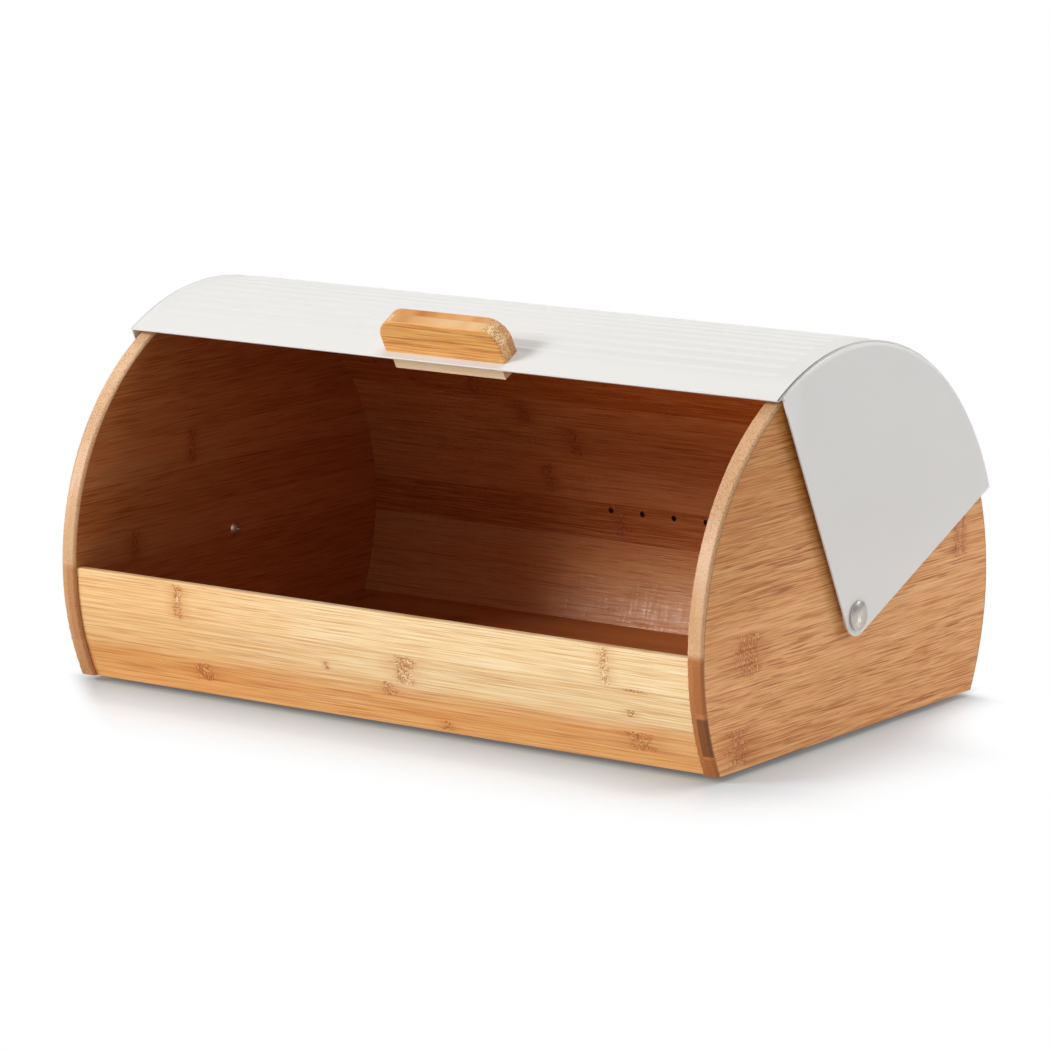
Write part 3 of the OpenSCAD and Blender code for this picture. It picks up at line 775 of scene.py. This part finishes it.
class BREAD_OT_case(bpy.types.Operator):
    """Dress the side panels, the bent sheets, the floor and its dowels in bamboo"""

    bl_idname = "bread.case"
    bl_label = "Bamboo case"

    def execute(self, context):
        s = context.scene.bread_bamboo
        dress("front_sheet", front_material(s))
        dress("back_sheet", back_material(s))
        # the floor board takes the inside tone, which is partly painted shade
        dress("floor_board", flat_material(
            "bamboo_floor", s.inside_tone_and_shade, seed=12.0, turn=(0, 1), gloss=s.gloss,
            strip=s.strip_width))
        dowel = flat_material("dowel_wood", DOWEL_WOOD, seed=15.0, turn=(0, 1), gloss=0.6,
                              strip=s.strip_width, contrast=0.1, fibre=0.5, own=0.0)
        for side in PANELS:
            dress("side_panel_" + side, panel_material(side, s))
            dress("floor_dowels_" + side, dowel)
        return {"FINISHED"}


class BREAD_OT_lid(bpy.types.Operator):
    """Roll the lid sheet with its pressed beads and coat it and its flanks"""

    bl_idname = "bread.lid"
    bl_label = "Beaded lid"

    def execute(self, context):
        s = context.scene.bread_lid
        coat = coat_material(s)
        piece = rolled_sheet(s, coat)
        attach(piece, "lid")
        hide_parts("lid_top")
        dress("lid_flank_left", coat)
        dress("lid_flank_right", coat)
        return {"FINISHED"}


class BREAD_OT_handle(bpy.types.Operator):
    """Dress the grip, the strip inside the lid and their screws"""

    bl_idname = "bread.handle"
    bl_label = "Handle"

    def execute(self, context):
        dress("handle_grip", grip_material(context.scene.bread_bamboo))
        dress("handle_strip", flat_material(
            "bamboo_strip", STRIP_WOOD, seed=21.0, turn=(0, 2), gloss=0.5, strip=0.05,
            contrast=0.05, fibre=0.2, own=0.0))
        dress("handle_screws", grained_material(
            "zinc_screws", (0.72, 0.72, 0.74), (0.5, 0.5, 0.52), gloss=0.35, scale=1200.0,
            depth_mm=0.01, metallic=1.0))
        return {"FINISHED"}


class BREAD_OT_pivots(bpy.types.Operator):
    """Dress the pivot heads, washers, inner screws and pads"""

    bl_idname = "bread.pivots"
    bl_label = "Pivots and pads"

    def execute(self, context):
        head = steel_material("satin_head", (0.70, 0.67, 0.62), (0.46, 0.43, 0.39), 0.26)
        screw = steel_material("satin_screw", (0.80, 0.76, 0.70), (0.55, 0.51, 0.46), 0.36)
        nylon = grained_material("nylon_washer", (0.80, 0.79, 0.74), (0.70, 0.69, 0.64),
                                 gloss=0.5, scale=900.0, depth_mm=0.02)
        rubber = grained_material("pad_rubber", (0.035, 0.035, 0.037), (0.02, 0.02, 0.021),
                                  gloss=0.8, scale=1500.0, depth_mm=0.05)
        for side in PANELS:
            dress("pivot_barrel_" + side, head)
            dress("pivot_screw_" + side, screw)
            dress("pivot_washer_" + side, nylon)
            for end in ("front", "rear"):
                dress(f"foot_{end}_{side}", rubber)
        return {"FINISHED"}


class BREAD_OT_stage(bpy.types.Operator):
    """Set up the floor, the lamps, the surroundings and the camera"""

    bl_idname = "bread.stage"
    bl_label = "Studio"

    def execute(self, context):
        s = context.scene.bread_stage
        make_floor()
        make_world(s.fill)
        for name, facts in LAMPS.items():
            make_lamp(name, s.key, *facts)
        make_camera(s.focal)
        context.scene.view_settings.view_transform = "Standard"
        return {"FINISHED"}


# ---------------------------------------------------------------- lid sheet


def rolled_sheet(s, coat):
    """The lid's top: a flat grid rolled about the pivots, its beads raised by rule."""
    values = {
        "Half Width": s.half_width, "Radius": s.radius, "Front Angle": s.front_angle,
        "Rear Angle": s.rear_angle, "Bead Pitch": s.bead_pitch, "Bead Width": s.bead_width,
        "Bead Height": s.bead_height, "Bead Margin": s.bead_margin, "Bead End": s.bead_end,
        "Axis Height": PIVOT.z, "Coat": coat,
    }
    n, i, out = new_group("Rolled beaded sheet", {
        "Geometry": None, **values}, ("Geometry",), "GeometryNodeTree")
    grid = n.add("GeometryNodeMeshGrid", {
        "Size X": 2.0, "Size Y": 1.0, "Vertices X": 61, "Vertices Y": 401})
    side, run, _ = n.parts(n.add("GeometryNodeInputPosition").outputs[0])
    run = n.plus(run, 0.5)
    # columns stand close at the beads' round ends and wide between them
    wide_share = 0.4
    reach = n.size(side)
    zone = n.plus(n.times(i["Bead Width"], 1.6), i["Bead End"])
    middle = n.minus(i["Half Width"], zone)
    x_mid = n.times(n.times(n.least(reach, wide_share), 1.0 / wide_share), middle)
    x_end = n.times(n.most(n.minus(reach, wide_share), 0.0), n.over(zone, 1.0 - wide_share))
    x = n.times(n.plus(x_mid, x_end), n.math("SIGN", side))
    # beads: distance to the nearest bead's middle line
    sweep = n.minus(i["Front Angle"], i["Rear Angle"])
    length = n.times(sweep, i["Radius"])
    plain = n.minus(length, n.times(i["Bead Margin"], 2.0))
    steps = n.math("FLOOR", n.over(plain, i["Bead Pitch"]))
    start = n.times(n.minus(length, n.times(steps, i["Bead Pitch"])), 0.5)
    which = n.over(n.minus(n.times(run, length), start), i["Bead Pitch"])
    near = n.least(n.most(n.math("ROUND", which), 0.0), steps)
    beside = n.times(n.minus(which, near), i["Bead Pitch"])
    half = n.times(i["Bead Width"], 0.5)
    stop = n.minus(n.minus(i["Half Width"], i["Bead End"]), half)
    past = n.most(n.minus(n.size(x), stop), 0.0)
    bump = n.fall(n.length(past, beside), 0.0, half)
    r = n.times_plus(bump, i["Bead Height"], i["Radius"])
    angle = n.times_plus(run, sweep, i["Rear Angle"])
    y = n.times(n.math("COSINE", angle), r)
    z = n.times_plus(n.math("SINE", angle), r, i["Axis Height"])
    rolled = n.add("GeometryNodeSetPosition", {
        "Geometry": grid.outputs["Mesh"], "Position": n.vector(x, y, z)})
    smooth = n.add("GeometryNodeSetShadeSmooth", {"Geometry": rolled.outputs[0]})
    whole = n.add("GeometryNodeRealizeInstances", {0: smooth.outputs[0]})
    coated = n.add("GeometryNodeSetMaterial", {"Geometry": whole.outputs[0], "Material": i["Coat"]})
    n.put(out.inputs[0], coated.outputs[0])
    piece = grown("lid_sheet", n.tree, values)
    thick = piece.modifiers.new("thickness", "SOLIDIFY")
    thick.thickness = s.thickness
    thick.offset = -1.0
    return piece


def grown(name, tree, values):
    """A plain mesh object from a geometry tree with the given input values."""
    seed = bpy.data.objects.new(name + "_seed", bpy.data.meshes.new(name + "_seed"))
    bpy.context.scene.collection.objects.link(seed)
    mod = seed.modifiers.new("grow", "NODES")
    mod.node_group = tree
    for item in tree.interface.items_tree:
        if item.item_type == "SOCKET" and item.in_out == "INPUT" and item.name in values:
            mod[item.identifier] = values[item.name]
    seed.update_tag()
    bpy.context.view_layer.update()
    shape = seed.evaluated_get(bpy.context.evaluated_depsgraph_get())
    mesh = bpy.data.meshes.new_from_object(shape)
    mesh.name = name
    bpy.data.objects.remove(seed)
    bm = bmesh.new()
    bm.from_mesh(mesh)
    bmesh.ops.recalc_face_normals(bm, faces=bm.faces)
    # an open sheet may come out inside out, so its first face is held against the pivots
    if bm.faces and bm.faces[0].normal.dot(bm.faces[0].calc_center_median() - PIVOT) < 0:
        bmesh.ops.reverse_faces(bm, faces=bm.faces)
    return placed(name, mesh, bm)


def placed(name, mesh, bm):
    """An object in the scene from a mesh and the bmesh that fills it."""
    bm.to_mesh(mesh)
    bm.free()
    made = bpy.data.objects.new(name, mesh)
    bpy.context.scene.collection.objects.link(made)
    return made


# ---------------------------------------------------------------- studio


def make_floor():
    """A wide pale floor that stays white in the picture but keeps the box's shadow."""
    bm = bmesh.new()
    bmesh.ops.create_grid(bm, x_segments=2, y_segments=2, size=6.0)
    mesh = bpy.data.meshes.new("floor")
    floor = placed("floor", mesh, bm)
    mat, n, shader, where = start_material("floor_white")
    x, y, _ = n.parts(where)
    seen = n.add("ShaderNodeLightPath").outputs["Is Camera Ray"]
    # distance from the box's footprint; on the left, where the key lamp stands, the shadow
    # ends sooner and slants away in front
    edge_x, edge_y = OUTER_X - 0.005, PANEL_HIGH.y - 0.02
    left_pull, rear_pull, corner_pull = 4.5, 3.5, 3.0
    front = n.most(n.minus(n.times(y, -1.0), edge_y), 0.0)
    behind = n.most(n.minus(y, edge_y), 0.0)
    left = n.most(n.minus(n.minus(front, x), edge_x), 0.0)
    right = n.times(n.minus(x, edge_x), n.span(y, 0.0, 0.11, 1.0, 3.2))
    away = n.length(n.most(n.times(left, left_pull), right),
                    n.times_plus(behind, rear_pull, front))
    corner = n.least(n.most(right, 0.0), behind)
    away = n.times_plus(corner, corner_pull, away)
    # tints of the shadow in front of the box and beside it, darkest where the box stands
    ahead = n.mix(n.span(away, 0.0, 0.06), (0.66, 1.02, 1.40), (0.80, 0.86, 0.90))
    ahead = n.mix(n.span(x, 0.13, 0.19), ahead, (0.75, 0.80, 0.84))
    beside = n.mix(n.span(away, 0.0, 0.03), (0.56, 0.68, 0.68), (0.53, 0.61, 0.68))
    tint = n.mix(n.span(y, -0.10, -0.16), beside, ahead)
    tint = n.mix(n.span(away, 0.009, 0.0, 0.0, 0.40), tint, (0.05, 0.05, 0.05))
    near = n.times(n.span(away, 0.14, 0.01), seen)
    base = n.mix(near, (0.90, 0.90, 0.90), tint)
    grain = n.span(n.noise(where, 220.0, 3.0), 0.3, 0.7, 0.0, 0.02)
    n.put(shader.inputs["Base Color"], n.mix(grain, base, (0.6, 0.6, 0.6)))
    shader.inputs["Roughness"].default_value = 0.30
    shader.inputs["Specular IOR Level"].default_value = 0.20
    # a little light of its own, and plain white away from the box, both for the camera only
    glow = n.add("ShaderNodeEmission", {
        "Color": (0.98, 1.0, 1.02), "Strength": n.times(seen, 0.13)})
    both = n.add("ShaderNodeAddShader", {0: shader.outputs[0], 1: glow.outputs[0]})
    white = n.add("ShaderNodeEmission", {"Color": (1.0, 1.0, 1.0), "Strength": 1.0})
    fade = n.times(n.span(away, 0.004, 0.10), seen)
    joined = n.add("ShaderNodeMixShader", {0: fade, 1: both.outputs[0], 2: white.outputs[0]})
    target = next(k for k in n.nodes if k.type == "OUTPUT_MATERIAL")
    n.put(target.inputs["Surface"], joined.outputs[0])
    mesh.materials.append(mat)


def make_world(strength):
    """Even pale surroundings, white to the camera; gloss sees a bright front and a grey rear."""
    world = bpy.data.worlds.new("surroundings")
    bpy.context.scene.world = world
    world.use_nodes = True
    world.node_tree.nodes.clear()
    n = Net(world.node_tree)
    rays = n.add("ShaderNodeLightPath").outputs
    _, y, _ = n.parts(n.add("ShaderNodeTexCoord").outputs["Generated"])
    mirrored = n.span(y, 0.5, -0.5, 0.30, 0.70)
    level = n.times_plus(n.minus(mirrored, strength), rays["Is Glossy Ray"], strength)
    level = n.times_plus(n.minus(1.0, level), rays["Is Camera Ray"], level)
    back = n.add("ShaderNodeBackground", {"Color": (1.0, 1.0, 1.0), "Strength": level})
    n.add("ShaderNodeOutputWorld", {"Surface": back.outputs[0]})


def make_lamp(name, power, place, aim, size, share, color):
    """A rectangular lamp at a place, turned to its aim."""
    data = bpy.data.lights.new(name, "AREA")
    data.shape = "RECTANGLE"
    data.size, data.size_y = size
    data.energy = share * power
    data.color = color
    made = bpy.data.objects.new(name, data)
    made.location = place
    made.rotation_euler = (Vector(aim) - Vector(place)).to_track_quat("-Z", "Y").to_euler()
    bpy.context.scene.collection.objects.link(made)


def make_camera(focal):
    """The photograph's viewpoint."""
    data = bpy.data.cameras.new("camera")
    cam = bpy.data.objects.new("camera", data)
    bpy.context.scene.collection.objects.link(cam)
    data.sensor_width = 36.0
    data.lens = focal
    data.clip_start, data.clip_end = 0.05, 50.0
    look = Vector(CAMERA_LOOK).normalized()
    right = look.cross(Vector(CAMERA_UP)).normalized()
    turn = Matrix((right, right.cross(look), -look)).transposed()
    cam.matrix_world = Matrix.Translation(CAMERA_PLACE) @ turn.to_4x4()
    bpy.context.scene.camera = cam


# ---------------------------------------------------------------- panel and run


class BREAD_PT_sidebar(bpy.types.Panel):
    """Sizes, colours and steps of the bread box"""

    bl_idname = "BREAD_PT_sidebar"
    bl_label = "Bread box"
    bl_space_type = "VIEW_3D"
    bl_region_type = "UI"
    bl_category = "Bread box"

    def draw(self, context):
        for name in ("bread_bamboo", "bread_lid", "bread_stage"):
            group = getattr(context.scene, name)
            box = self.layout.box()
            for key in group.__annotations__:
                box.prop(group, key)
        for step in STEPS:
            self.layout.operator(step.bl_idname)


STEPS = (BREAD_OT_effects, BREAD_OT_case, BREAD_OT_lid, BREAD_OT_handle, BREAD_OT_pivots,
         BREAD_OT_stage)
GROUPS = {"bread_bamboo": BambooSettings, "bread_lid": LidSettings, "bread_stage": StageSettings}


def register():
    for cls in (*GROUPS.values(), *STEPS, BREAD_PT_sidebar):
        bpy.utils.register_class(cls)
    for name, cls in GROUPS.items():
        setattr(bpy.types.Scene, name, bpy.props.PointerProperty(type=cls))


def unregister():
    for name in GROUPS:
        delattr(bpy.types.Scene, name)
    for cls in reversed((*GROUPS.values(), *STEPS, BREAD_PT_sidebar)):
        bpy.utils.unregister_class(cls)


def main():
    register()
    bpy.ops.bread.effects()
    bpy.ops.bread.case()
    bpy.ops.bread.lid()
    bpy.ops.bread.handle()
    bpy.ops.bread.pivots()
    bpy.ops.bread.stage()
    bpy.context.view_layer.update()


if __name__ == "__main__":
    main()
